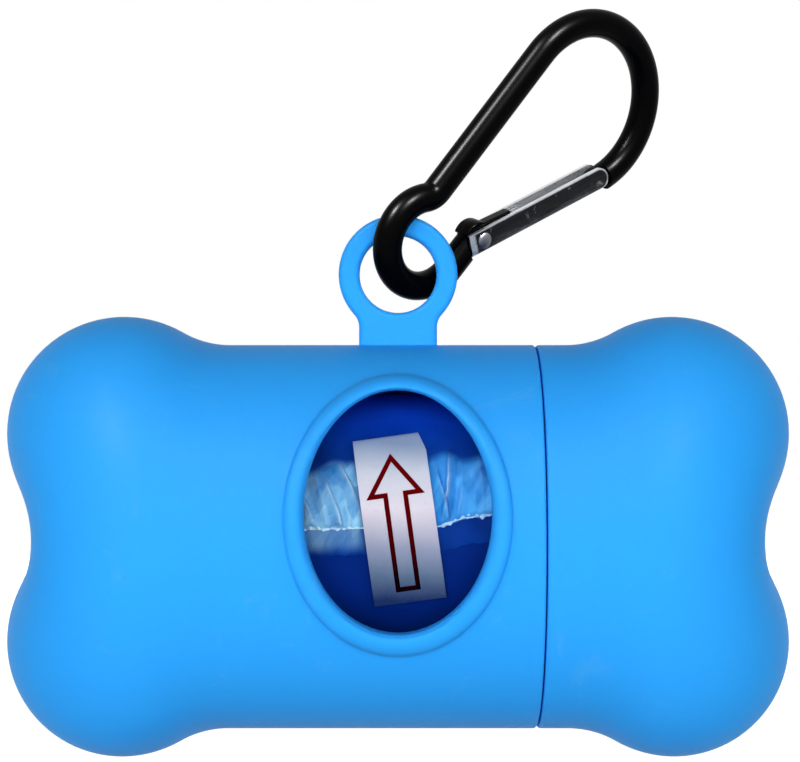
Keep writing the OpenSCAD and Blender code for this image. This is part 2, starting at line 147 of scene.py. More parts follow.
class Tree:
    # a node tree; node is the one method that adds nodes to it
    def __init__(self, nodeTree):
        self.nodes, self.links = nodeTree.nodes, nodeTree.links

    def plug(self, value, socket):
        # links a wire to a socket, or gives the socket a plain value
        if isinstance(value, Wire):
            self.links.new(value.socket, socket)
        else:
            socket.default_value = value

    def node(self, kind, settings=None, out=0, **values):
        node = self.nodes.new(kind)
        for key, value in (settings or {}).items():
            if key == "stops":
                ramp = node.color_ramp
                while len(ramp.elements) < len(value):
                    ramp.elements.new(0.5)
                for element, (place, tint) in zip(ramp.elements, value):
                    element.position = place
                    element.color = colour(tint)
            else:
                setattr(node, key, value)
        for key, value in values.items():  # i0, i1 and so on are sockets by number, other keys by name
            numbered = key[0] == "i" and key[1:].isdigit()
            self.plug(value, node.inputs[int(key[1:]) if numbered else key])
        return Wire(self, node.outputs[out]) if node.outputs else None

    def maths(self, operation, *values):
        values = {f"i{index}": value for index, value in enumerate(values)}
        return self.node("ShaderNodeMath", {"operation": operation}, **values)

    def looking(self):
        # 1 for the rays that show a surface to the eye, directly or in gloss and glass
        kinds = ("Camera", "Glossy", "Transmission")
        camera, gloss, glass = [self.node("ShaderNodeLightPath", out=f"Is {kind} Ray") for kind in kinds]
        return camera.atLeast(gloss).atLeast(glass)


class Finish(Tree):
    # a material with one Principled shader; its textures lie round a centre
    def __init__(self, name, centre=(0, 0, 0)):
        self.material = bpy.data.materials.new(name)
        self.material.use_nodes = True
        super().__init__(self.material.node_tree)
        self.shader = self.nodes["Principled BSDF"]
        self.place = self.vector("SUBTRACT", self.node("ShaderNodeTexCoord", out=3), centre)

    def vector(self, operation, first, second, out=0):
        return self.node("ShaderNodeVectorMath", {"operation": operation}, out, i0=first, i1=tuple(second))

    def split(self, vector):
        outputs = self.node("ShaderNodeSeparateXYZ", i0=vector).socket.node.outputs
        return [Wire(self, socket) for socket in outputs]

    def combine(self, x, y, z):
        return self.node("ShaderNodeCombineXYZ", i0=x, i1=y, i2=z)

    def noise(self, scale, detail=3.0, rough=0.55, warp=0.0, over=None):
        return self.node("ShaderNodeTexNoise", Vector=over or self.place, Scale=scale, Detail=detail, Roughness=rough,
                         Distortion=warp)

    def blend(self, factor, low, high):
        low, high = [colour(c) if isinstance(c, str) else c for c in (low, high)]
        return self.node("ShaderNodeMix", {"data_type": "RGBA"}, 2, i0=factor, i6=low, i7=high)

    def bump(self, height, distance, strength=1.0, **under):
        # distance in millimetres; a Normal may be given for the bump that lies under this one
        return self.node("ShaderNodeBump", Height=height, Distance=distance * mm, Strength=strength, **under)

    def set(self, tint, roughness, specular, **values):
        names = {"metallic": "Metallic", "normal": "Normal", "scatter": "Subsurface Weight",
                 "scatterDepth": "Subsurface Scale"}
        values = {names[key]: value for key, value in values.items()}
        values.update({"Base Color": tint, "Roughness": roughness, "Specular IOR Level": specular})
        for socket, value in values.items():
            self.plug(value, self.shader.inputs[socket])
        return self.material


plastic = {
    "tint": "#2ea6ff", "cloud": "#2a9efc", "scuff": "#9fd8ff", "rough": 0.44, "specular": 0.035,
    "scatter": 0.12, "scatterDepth": 0.0015, "cloudScale": 28, "grainScale": 2600, "speckScale": 900,
    "scuffScale": 140,
}


def mouldedPlastic(name, seed):
    p = plastic
    finish = Finish(name, seed)
    broad = finish.noise(p["cloudScale"], 2.0)
    grain = finish.noise(p["grainScale"], 2.0)
    speck = finish.noise(p["speckScale"], 3.0, 0.6)
    scuff = finish.noise(p["scuffScale"], 4.0, 0.7, 1.2).soft(0.62, 0.74)
    tint = finish.blend(broad.soft(0.35, 0.7) * 0.35, p["tint"], p["cloud"])
    tint = finish.blend(scuff * 0.08, tint, p["scuff"])
    normal = finish.bump(speck, 0.03, 0.25, Normal=finish.bump(grain, 0.012, 0.35))
    return finish.set(tint, p["rough"] + broad * 0.06 + scuff * 0.08, p["specular"], normal=normal,
                      scatter=p["scatter"], scatterDepth=p["scatterDepth"])


film = {
    "woundLow": "#011c64", "woundHigh": "#032d87", "woundShaded": "#010f3c", "layerEnd": "#2a74d6",
    "tightLow": "#02256e", "tightHigh": "#053a94", "paintedLightTop": "#0a48d0",
    "looseLow": ("#2a7cc0", "#1271c8"), "looseHigh": ("#9ad4ee", "#54b2f2"), "glint": "#dcf2fa",
    "woundRough": 0.46, "looseRough": 0.4, "woundSpecular": 0.013, "looseSpecular": 0.011,
    "endX": 28.6, "windowHalf": (9, 11), "shadedZ": (4, 10), "paintedLightZ": (9.5, 14), "tintTurnX": 3,
}


def atWindow(x):
    # 1 along the bone where the window is, 0 beyond it
    near, far = film["windowHalf"]
    return 1 - abs(x).soft(near * mm, far * mm)


def woundFilmFinish():
    finish = Finish("woundFilm", rollCentre)
    x, y, z = finish.split(finish.place)
    radius = (y * y + z * z) ** 0.5
    rings = finish.node("ShaderNodeTexNoise", {"noise_dimensions": "1D"}, W=radius * 9000, Scale=1.0, Detail=2.0)
    atEnd = abs(x) > film["endX"] * mm
    creases = finish.noise(320, 4.0, 0.6, 0.8, finish.combine(x * 0.25, y, z))
    broad = finish.noise(90, 2.0)
    tint = finish.blend(broad, film["woundLow"], film["woundHigh"])
    # painted shade: the wound film darkens towards the foot of the window
    start, full = film["shadedZ"]
    shaded = (-1 * z).soft(start * mm, full * mm) * atWindow(x)
    tint = finish.blend(shaded * 0.6, tint, film["woundShaded"])
    tint = finish.blend(atEnd * rings.soft(0.35, 0.65), tint, film["layerEnd"])
    normal = finish.bump(creases * (1 - atEnd) + rings * atEnd, 0.18, 0.5)
    return finish.set(tint, film["woundRough"] + broad * 0.12, film["woundSpecular"], normal=normal)


def looseFilmFinish():
    finish = Finish("looseFilm", rollCentre)
    slack, glint = [finish.node("ShaderNodeAttribute", {"attribute_name": kind}, 2) for kind in ("slack", "glint")]
    x, y, z = finish.split(finish.place)
    streak = finish.combine(x - z * 0.3, y, z * 0.4)
    fine = finish.noise(420, 4.0, 0.55, 0.8, streak)
    facets = finish.node("ShaderNodeTexVoronoi", {"feature": "F1"}, 1, Vector=streak, Scale=520.0)
    shade, _, _ = finish.split(facets)
    broad = finish.noise(210, 2.0)
    dark = finish.blend(broad.soft(0.3, 0.7), film["tightLow"], film["tightHigh"])
    # painted light: the tight film is lighter near the top of the window
    start, full = film["paintedLightZ"]
    dark = finish.blend(z.soft(start * mm, full * mm) * atWindow(x), dark, film["paintedLightTop"])
    side = x.soft(-film["tintTurnX"] * mm, film["tintTurnX"] * mm)
    low, high = [finish.blend(side, *tints) for tints in (film["looseLow"], film["looseHigh"])]
    # painted light and shade: random facets and streaks make the crinkled film lighter or darker
    pale = finish.blend((fine.soft(0.35, 0.65) * 0.6 + shade * 0.4).clamp(), low, high)
    # painted highlight: a near-white glint where the stored glint is high
    pale = finish.blend((glint * (0.7 + fine * 0.5)).clamp(), pale, film["glint"])
    return finish.set(finish.blend(slack, dark, pale), film["looseRough"] - slack * 0.06 + broad * 0.05,
                      film["looseSpecular"], normal=finish.bump(fine, 0.16, 0.5))


card = {"fibre": ("#8d7350", "#b99c74"), "fleck": "#6a543a", "seam": "#5d4930", "seamPitch": 42, "rough": 0.88,
        "specular": 0.25}


def cardFinish():
    finish = Finish("woundCard", rollCentre)
    x, y, z = finish.split(finish.place)
    spiral = (y.join("ARCTAN2", z) * (1 / (2 * pi)) + x * card["seamPitch"]).join("FRACT")
    seamLine = 1 - abs(spiral - 0.5).soft(0.0, 0.03)
    fibres = finish.noise(1500, 5.0, 0.7)
    fleck = finish.noise(420).soft(0.6, 0.72)
    tint = finish.blend(fibres, *card["fibre"])
    tint = finish.blend(fleck * 0.5, tint, card["fleck"])
    tint = finish.blend(seamLine * 0.6, tint, card["seam"])
    normal = finish.bump(fibres - seamLine * 0.6, 0.1, 0.7)
    return finish.set(tint, card["rough"] - fibres * 0.1, card["specular"], normal=normal)


paper = {
    # painted shade: dark blue at the foot of the label, palest a little above the middle, dimmer again at its top
    "shading": [(0.05, "#03265c"), (0.2, "#536985"), (0.36, "#8a91ab"), (0.6, "#ddd4dd"), (0.8, "#cbcfd9"),
                (0.98, "#8298b4")],  # from the foot of the label to its top
    "footZ": -6, "topZ": 10.5, "cloud": "#b3bfd2", "fibre": "#93a2bd", "rough": 0.62, "specular": 0.06,
}


def paperFinish():
    finish = Finish("labelPaper", rollCentre)
    fibres = finish.noise(1900, 5.0, 0.7)
    cloud = finish.noise(160)
    _, _, z = finish.split(finish.place)
    # painted shade from the ramp; the cloud and fibres fade where it is dark
    height = z.soft(paper["footZ"] * mm, paper["topZ"] * mm) + cloud * 0.08 - 0.04
    ramp = finish.node("ShaderNodeValToRGB", {"stops": paper["shading"]}, i0=height)
    lit = z.soft(paper["footZ"] * mm, 0) * 0.8 + 0.2
    tint = finish.blend(cloud * lit * 0.15, ramp, paper["cloud"])
    tint = finish.blend(fibres.soft(0.55, 0.75) * lit * 0.2, tint, paper["fibre"])
    return finish.set(tint, paper["rough"] + fibres * 0.12, paper["specular"], normal=finish.bump(fibres, 0.03, 0.6))


# the near-black ink colour is painted shade towards the foot of the label; the dark red is the ink's own colour
ink = {"shadedInk": "#070105", "redInk": "#620206", "shadedInkZ": -3, "redInkZ": 6, "rough": 0.65, "specular": 0.0}


def inkFinish():
    finish = Finish("labelInk", rollCentre)
    patch = finish.noise(900, 4.0)
    _, _, z = finish.split(finish.place)
    # painted shade: the ink is its own dark red near the top and goes near black towards the foot of the label, with
    # random patches
    redInk = (z.soft(ink["shadedInkZ"] * mm, ink["redInkZ"] * mm) * 0.9 + patch * 0.25 - 0.1).clamp()
    return finish.set(finish.blend(redInk, ink["shadedInk"], ink["redInk"]), ink["rough"] + patch * 0.15, ink["specular"])


coat = {"tint": "#020203", "scratch": "#232327", "rough": 0.21, "specular": 0.02, "scratchTurn": (0.2, 0.9, 0.4)}


def blackCoatFinish():
    finish = Finish("blackCoat")
    broad = finish.noise(60, 2.0)
    peel = finish.noise(700, 2.0)
    turned = finish.node("ShaderNodeVectorRotate", {"rotation_type": "EULER_XYZ"}, Vector=finish.place,
                         Rotation=coat["scratchTurn"])
    x, y, z = finish.split(turned)
    lines = finish.noise(1900, 3.0, 0.6, 0.0, finish.combine(x * 0.08, y, z)).soft(0.68, 0.76)
    tint = finish.blend(lines * 0.5, coat["tint"], coat["scratch"])
    normal = finish.bump(lines, -0.02, 0.2, Normal=finish.bump(peel, 0.02, 0.12))
    return finish.set(tint, coat["rough"] + broad * 0.08 + lines * 0.12, coat["specular"], normal=normal)


sheet = {
    "black": ("#040405", "#1d1e21"), "bare": ("#8f9398", "#d9dbde"), "rough": 0.34, "specular": 0.08,
    "brink": (0.22, 0.08), "tailEdge": (1.0, 1.25), "band": 0.2, "inside": 0.75, "cutDepth": 0.6,
}


def gateFinish(centre, axes):
    # black sheet whose cut edges are bright, with a painted highlight band along its lower edge; the axes run along,
    # inwards and across the gate
    finish = Finish("gateSheet")
    local = finish.vector("SUBTRACT", finish.place, centre)
    along, inward, across = [finish.vector("DOT_PRODUCT", local, axis, 1) for axis in axes]
    normal = finish.node("ShaderNodeTexCoord", out=1)
    endways, facing = [finish.vector("DOT_PRODUCT", normal, axis, 1) for axis in axes[:2]]
    streaks = finish.noise(2300, 4.0, 0.65, 0.0, finish.combine(along * 0.12, inward, across))
    patches = finish.noise(650, 4.0, 0.7, 0.6)
    half, end = gate["height"] / 2 * mm, gate["length"] * mm
    cut = ((facing > 0.6) * (inward > sheet["cutDepth"] * mm)).atLeast(abs(endways) > 0.75)
    past = (along - (end - half)).clamp(0.0, 1.0)
    reach = (past * past + inward * inward) ** 0.5  # follows the round end
    wide, narrow = sheet["brink"]
    early, late = sheet["tailEdge"]
    brink = reach.soft(half - wide * mm, half - narrow * mm).atLeast((-1 * along).soft(early * mm, late * mm))
    # painted highlight: a soft band of streaky bare metal along the lower edge of the flank
    band = (-1 * inward).soft(0.1 * mm, half) * sheet["band"]
    inside = abs(across) < (gate["width"] / 2 - gate["sheet"] + 0.03) * mm
    bare = cut.atLeast(brink * (0.5 + patches.soft(0.3, 0.5) * 0.5)).atLeast(patches.soft(0.6, 0.72) * 0.3)
    bare = bare.atLeast(band * streaks.soft(0.35, 0.6)).atLeast(inside * sheet["inside"])
    tint = finish.blend(streaks.soft(0.3, 0.75), *sheet["black"])
    tint = finish.blend(bare, tint, finish.blend(streaks, *sheet["bare"]))
    return finish.set(tint, sheet["rough"] + patches * 0.12 - bare * 0.08, sheet["specular"], metallic=bare.clamp(),
                      normal=finish.bump(streaks + patches * 0.6, 0.05, 0.5))


def brightMetalFinish(name, tint, rough):
    finish = Finish(name)
    turned = finish.noise(1400)
    spots = finish.noise(380, 4.0).soft(0.6, 0.75)
    return finish.set(finish.blend(spots * 0.5, tint, "#6f7276"), rough + turned * 0.12, 0.5, metallic=1.0,
                      normal=finish.bump(turned, 0.02, 0.4))


shellBlue = mouldedPlastic("shellBlue", (0.01, 0.02, 0.03))
capBlue = mouldedPlastic("capBlue", (0.05, -0.01, 0.02))
print("finishes made")


def addPiece(name, mesh, material):
    mesh.update()
    mesh.materials.clear()
    mesh.materials.append(material)
    return placed(name, mesh)


def settle(piece, body, node=None):
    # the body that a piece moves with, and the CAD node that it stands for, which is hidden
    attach(piece, body)
    if node:
        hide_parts(node)
    return piece


def repaint(nodeName, material):
    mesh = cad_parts[nodeName].data
    mesh.materials.clear()
    mesh.materials.append(material)


def plainMesh(holder):
    # what an object's curve or modifiers make
    bpy.context.view_layer.update()
    return bpy.data.meshes.new_from_object(holder.evaluated_get(bpy.context.evaluated_depsgraph_get()))


def builtPiece(name, shape, material, place=None, sharp=35):
    # a piece from points in millimetres, round the bone's middle or in the frame that is given
    points, faces = shape[0], outwards(*shape)
    mesh = bpy.data.meshes.new(name)
    spots = np.asarray(points, float) * mm
    if place is None:
        spots = spots + np.array(boneCentre)
    mesh.from_pydata([tuple(p) for p in spots], [], [tuple(int(i) for i in f) for f in faces])
    mesh.validate()
    if place is not None:
        mesh.transform(place)
    mesh.update()
    mesh.shade_smooth()
    mesh.set_sharp_from_angle(angle=radians(sharp))
    return addPiece(name, mesh, material)


def outwards(points, faces):
    # turns all faces round where the shape is inside out
    total = 0.0
    pts = np.asarray(points, float)
    for face in faces:
        a = pts[face[0]]
        for i in range(1, len(face) - 1):
            total += float(np.dot(a, np.cross(pts[face[i]], pts[face[i + 1]])))
    return [tuple(reversed(f)) for f in faces] if total < 0 else faces


def sheetFaces(rows, columns):
    # faces of a thin closed sheet: a grid of points, the same grid again underneath, and the edge between
    size = rows * columns
    faces = []
    for i in range(rows - 1):
        for j in range(columns - 1):
            a = i * columns + j
            quad = (a, a + 1, a + columns + 1, a + columns)
            faces += [quad, tuple(q + size for q in reversed(quad))]
    rim = list(range(columns)) + [i * columns + columns - 1 for i in range(1, rows)]
    rim += [(rows - 1) * columns + j for j in range(columns - 2, -1, -1)]
    rim += [i * columns for i in range(rows - 2, 0, -1)]
    return faces + [(q, p, p + size, q + size) for p, q in zip(rim, rim[1:] + rim[:1])]


def circle(radius, steps, centre=(0, 0)):
    angles = [2 * pi * i / steps for i in range(steps)]
    return [(centre[0] + radius * cos(a), centre[1] + radius * sin(a)) for a in angles]


def stackRings(rings, startPole=None, endPole=None, closed=False):
    # points and quads of a stack of rings with the same count of points
    count = len(rings[0])
    points = [tuple(p) for ring in rings for p in ring]
    faces = []
    levels = len(rings)
    for level in range(levels if closed else levels - 1):
        above = (level + 1) % levels
        for k in range(count):
            n = (k + 1) % count
            faces.append((level * count + k, level * count + n, above * count + n, above * count + k))
    if startPole is not None:
        points.append(tuple(startPole))
        pole = len(points) - 1
        faces += [(pole, (k + 1) % count, k) for k in range(count)]
    if endPole is not None:
        points.append(tuple(endPole))
        pole = len(points) - 1
        last = (levels - 1) * count
        faces += [(pole, last + k, last + (k + 1) % count) for k in range(count)]
    return points, faces


bone = {
    "wall": 2.0, "dish": 3.5, "lobeRise": 2.9, "lobeR": 11.9, "flareR": 10.0, "cornerR": 13.0,
    "tubeR": 19.6, "saddleX": 36.5, "turns": 192, "flareSteps": 12, "lobeSteps": 44, "saddleSteps": 10,
}
seam = {
    "x": 14.0, "gap": 0.15, "bevel": 0.3, "stepR": 18.4, "neckR": 16.7, "neckInR": 15.35, "neckLen": 6.5,
    "collarX": 11.2, "slopeX": 9.8,
}
window = {
    "width": 17.9, "height": 23.2, "z": 3.4, "rimWidth": 2.0, "rimRise": 0.86, "rimDrop": 0.3,
    "reachX": 12.6, "innerReachX": 9.6, "columns": 20, "firstTurn": -22, "turnSteps": 60,
}

tubeR, wall, saddleX = bone["tubeR"], bone["wall"], bone["saddleX"]
lobeR, flareR, cornerR = bone["lobeR"], bone["flareR"], bone["cornerR"]
lobeX = saddleX + bone["dish"] - lobeR
lobeZ = tubeR + bone["lobeRise"] - lobeR
flareZ = tubeR + flareR
flareX = lobeX - sqrt((flareR + lobeR) ** 2 - (flareZ - lobeZ) ** 2)
flareTurn = atan2(lobeX - flareX, flareZ - lobeZ)
saddleReach = saddleX - lobeX
saddleR = (lobeZ ** 2 + saddleReach ** 2 - lobeR ** 2) / (2 * (lobeR - saddleReach))
saddleTurn = atan2(lobeZ, saddleReach + saddleR)
lobeTurn = pi / 2 + flareTurn + saddleTurn
flareArc, lobeArc, saddleArc = flareR * flareTurn, lobeR * lobeTurn, saddleR * saddleTurn
crestLen = flareArc + lobeArc + saddleArc
sideRun = saddleX - cornerR - flareX
sideArc = cornerR * pi / 2
sideFlat = tubeR - cornerR
sideLen = sideRun + sideArc + sideFlat


def crestPoint(d, off):
    if d <= flareArc:
        a = flareTurn * d / flareArc
        return flareX + (flareR + off) * sin(a), flareZ - (flareR + off) * cos(a)
    if d <= flareArc + lobeArc:
        a = pi / 2 + flareTurn - lobeTurn * (d - flareArc) / lobeArc
        return lobeX + (lobeR - off) * cos(a), lobeZ + (lobeR - off) * sin(a)
    a = saddleTurn * (crestLen - d) / saddleArc
    return saddleX + saddleR - (saddleR + off) * cos(a), (saddleR + off) * sin(a)


def sidePoint(d, off):
    if d <= sideRun:
        return flareX + d, tubeR - off
    if d <= sideRun + sideArc:
        a = pi / 2 * (1 - (d - sideRun) / sideArc)
        return saddleX - cornerR + (cornerR - off) * cos(a), sideFlat + (cornerR - off) * sin(a)
    return saddleX - off, max(0.0, sideLen - d)


turns = bone["turns"]
phi = np.arange(turns) * 2 * pi / turns
crestShare = np.sin(phi) ** 2
inner = tubeR - wall


def hoop(x, radius, angle):
    # points round the bone's axis; angle 0 faces the window side, a quarter turn is up
    return np.stack([x + 0.0 * angle, -radius * np.cos(angle), radius * np.sin(angle)], 1)


def ringsAt(places):
    return [hoop(x, radius, phi) for x, radius in places]


def bevelled(x, side):
    # rings of a rounded edge: places from the tube's skin to the flat face at x
    bevel = seam["bevel"]
    turned = [radians(a) for a in (0, 22.5, 45, 67.5, 90)]
    return [(x - side * (bevel - bevel * sin(a)), tubeR - bevel + bevel * cos(a)) for a in turned]


def lobedRings(off, side):
    # rings from the end of the tube towards the saddle; side is 1 for the cap's end
    steps = ([flareArc * i / bone["flareSteps"] for i in range(1, bone["flareSteps"])]
             + [flareArc + lobeArc * i / bone["lobeSteps"] for i in range(bone["lobeSteps"])]
             + [crestLen - saddleArc * i / bone["saddleSteps"] for i in range(bone["saddleSteps"], 0, -1)])
    rings = []
    for d in steps:
        cx, cr = crestPoint(d, off)
        sx, sr = sidePoint(d * sideLen / crestLen, off)
        rings.append(hoop(side * (sx + crestShare * (cx - sx)), sr + crestShare * (cr - sr), phi))
    return rings


def windowRing(grow, radius, square):
    # ring of the window's edge, grown outwards, on a given radius
    t = np.arctan2(square[:, 1], square[:, 0])
    x = (window["width"] / 2 + grow) * np.cos(t)
    z = window["z"] - window["rimDrop"] * grow / window["rimWidth"] + (window["height"] / 2 + grow) * np.sin(t)
    return np.stack([x, -np.sqrt(radius ** 2 - z ** 2), z], 1)


def acrossSkin(start, target, radius, shares):
    # rings on the skin of a tube, part of the way from one ring to another
    startAngle = np.arcsin(start[:, 2] / radius)
    endAngle = np.arctan2(target[:, 2], -target[:, 1])
    return [hoop(start[:, 0] + (target[:, 0] - start[:, 0]) * f, radius, startAngle + (endAngle - startAngle) * f)
            for f in shares]


def housingMesh():
    first, steps, cols = window["firstTurn"], window["turnSteps"], window["columns"]
    columns = np.linspace(-window["reachX"], window["reachX"], cols + 1)
    innerColumns = np.linspace(-window["reachX"], window["innerReachX"], cols + 1)
    lead = [-flareX, -16.0, -14.8, -13.7]
    rings = lobedRings(0, -1)[::-1] + ringsAt((x, tubeR) for x in lead)
    outerStart = len(rings)
    bevel, s = seam["bevel"], seam["x"]
    end, neck, bore = s + seam["neckLen"], seam["neckR"], seam["neckInR"]
    rings += ringsAt([(x, tubeR) for x in columns] + [(s - bevel * 1.6, tubeR)] + bevelled(s, 1) + [
        (s, seam["stepR"]), (s, neck + 0.35), (s + 0.1, neck + 0.1), (s + 0.35, neck), (17, neck), (end - 0.5, neck),
        (end - 0.15, neck - 0.15), (end, neck - 0.5), (end, bore + 0.3), (end - 0.1, bore + 0.1), (end - 0.3, bore),
        (17, bore), (seam["collarX"], bore), (seam["slopeX"], inner)])
    innerStart = len(rings)
    rings += ringsAt((x, inner) for x in [*innerColumns[::-1], *lead[::-1]]) + lobedRings(wall, -1)
    points, faces = stackRings(rings, (-saddleX, 0, 0), (-saddleX + wall, 0, 0))
    # the faces under the window give way to rings that run from the tube's grid round the rim to the inside

    def boundary(startRow, direction):
        # point numbers round the patch, and its places in a square from -1 to 1
        around = [(i, 0) for i in range(cols)] + [(cols, k) for k in range(steps)]
        around += [(i, steps) for i in range(cols, 0, -1)] + [(0, k) for k in range(steps, 0, -1)]
        ids = [(startRow + i * direction) * turns + (first + k) % turns for i, k in around]
        return ids, np.array([(2 * i / cols - 1, 2 * k / steps - 1) for i, k in around])

    outerIds, square = boundary(outerStart, 1)
    innerIds, _ = boundary(innerStart + cols, -1)
    hole = {(row + i, (first + k) % turns)
            for row in (outerStart, innerStart) for i in range(cols) for k in range(steps)}
    faces = [f for f in faces if len(f) == 3 or (f[0] // turns, f[0] % turns) not in hole]
    w, rise = window["rimWidth"], window["rimRise"]
    profile = [(w * 1.24, 0.0), (w * 1.12, 0.015), (w * 1.02, 0.05 * rise), (w * 0.95, 0.13 * rise)]
    for a in (radians(15 + 22 * i) for i in range(8)):  # the bead rises from its toe and rolls into the opening
        profile.append((w * (0.5 + 0.42 * cos(a)), rise * (0.22 + 0.78 * sin(a) ** 0.8)))
    profile += [(0.03, 0.12 * rise), (0.0, -0.3), (0.0, -1.0), (0.0, -1.7), (0.0, -wall)]
    rim = [windowRing(grow, tubeR + lift, square) for grow, lift in profile]
    outerEdge, innerEdge = [np.array([points[i] for i in ids]) for ids in (outerIds, innerIds)]
    chain = acrossSkin(windowRing(profile[0][0], tubeR, square), outerEdge, tubeR, [m / 7 for m in range(6, 0, -1)])
    chain += rim + acrossSkin(windowRing(0.0, inner, square), innerEdge, inner, [m / 5 for m in range(1, 5)])
    count = len(outerIds)
    rows = [outerIds]
    for ring in chain:
        rows.append(list(range(len(points), len(points) + count)))
        points += [tuple(p) for p in ring]
    rows.append(innerIds)
    for low, high in zip(rows, rows[1:]):
        faces += [(low[k - 1], high[k - 1], high[k], low[k]) for k in list(range(1, count)) + [0]]
    return points, faces


def capMesh():
    mouth = seam["x"] + seam["gap"]
    straight = (15.6, 16.4, flareX)
    rings = ringsAt(bevelled(mouth, -1)[::-1] + [(x, tubeR) for x in (mouth + seam["bevel"] * 1.7, *straight)])
    points, faces = stackRings(rings + lobedRings(0, 1), None, (saddleX, 0, 0))
    bore = ringsAt([(mouth, inner + 0.3), (mouth + 0.1, inner + 0.1), (mouth + 0.3, inner)]
                   + [(x, inner) for x in straight])
    morePoints, moreFaces = stackRings(bore + lobedRings(wall, 1), None, (saddleX - wall, 0, 0))
    offset = len(points)
    faces += [tuple(i + offset for i in reversed(f)) for f in moreFaces]
    faces += [(k, offset + k, offset + (k + 1) % turns, (k + 1) % turns) for k in range(turns)]
    return points + morePoints, faces


settle(builtPiece("housingShell", housingMesh(), shellBlue), "housing", "main_shell")
settle(builtPiece("capShell", capMesh(), capBlue), "cap", "end_cap")
print("housing and cap made")


loop = {
    "holeR": 3.95, "band": 2.15, "thick": 2.0, "round": 0.6, "tabW": 8.0, "fillet": 2.0, "lift": 1.15, "root": 1.0,
    "steps": 96, "filletSteps": 12,
}
loopR = loop["holeR"] + loop["band"]
loopZ = tubeR + loop["lift"] + loopR


def flatPlate(name, outlines, thick, rounding, material, place, resolution=4):
    # a flat piece with rounded edges from closed outlines in millimetres
    curve = bpy.data.curves.new(name + "Curve", "CURVE")
    curve.dimensions = "2D"
    curve.fill_mode = "BOTH"
    curve.extrude = (thick / 2 - rounding) * mm
    curve.bevel_depth = rounding * mm
    curve.bevel_resolution = resolution
    curve.offset = -rounding * mm
    for outline in outlines:
        spline = curve.splines.new("POLY")
        spline.points.add(len(outline) - 1)
        for point, (x, y) in zip(spline.points, outline):
            point.co = (x * mm, y * mm, 0, 1)
        spline.use_cyclic_u = True
    holder = placed(name + "Holder", curve)
    mesh = plainMesh(holder)
    bpy.data.objects.remove(holder)
    bpy.data.curves.remove(curve)
    weld(mesh)
    mesh.transform(place)
    mesh.shade_smooth()
    return addPiece(name, mesh, material)


def weld(mesh, distance=1e-6):
    # merges doubles, turns faces outwards and keeps the flat faces' edges crisp
    work = bmesh.new()
    work.from_mesh(mesh)
    bmesh.ops.remove_doubles(work, verts=work.verts, dist=distance)
    bmesh.ops.recalc_face_normals(work, faces=work.faces)
    for edge in work.edges:
        flat = [abs(f.normal.z) > 0.9999 for f in edge.link_faces]
        if len(flat) == 2 and flat[0] != flat[1]:
            edge.smooth = False
    work.to_mesh(mesh)
    work.free()


def loopOutlines():
    sideX = loop["tabW"] / 2 + loop["fillet"]
    filletZ = loopZ - sqrt((loopR + loop["fillet"]) ** 2 - sideX ** 2)
    turn = acos(sideX / (loopR + loop["fillet"]))
    foot = tubeR - loop["root"]
    outer = [(-loop["tabW"] / 2, foot), (loop["tabW"] / 2, foot)]
    steps, bends = loop["steps"], [turn * i / loop["filletSteps"] for i in range(loop["filletSteps"] + 1)]
    outer += [(sideX - loop["fillet"] * cos(a), filletZ + loop["fillet"] * sin(a)) for a in bends]
    start = atan2(filletZ - loopZ, sideX)
    for i in range(1, steps):
        a = start + (2 * pi - 2 * (start + pi / 2)) * i / steps
        outer.append((loopR * cos(a), loopZ + loopR * sin(a)))
    outer += [(-sideX + loop["fillet"] * cos(a), filletZ + loop["fillet"] * sin(a)) for a in bends[::-1]]
    return [outer, circle(loop["holeR"], steps, (0, loopZ))]


upright = Matrix.Translation(boneCentre) @ Matrix.Rotation(pi / 2, 4, "X")
settle(flatPlate("hangLoop", loopOutlines(), loop["thick"], loop["round"], shellBlue, upright, 6),
       "housing")
print("hanging loop made")


thread = {  # one tree makes both sides
    "neckRadius": 16.7, "neckDepth": 0.52, "capRadius": 17.6, "capDepth": 0.24, "pitch": 2.4, "turns": 1.6,
    "startX": 15.3, "width": 1.3, "steps": 240, "sides": 16, "fadeShare": 0.1, "leastWidth": 0.05,
}


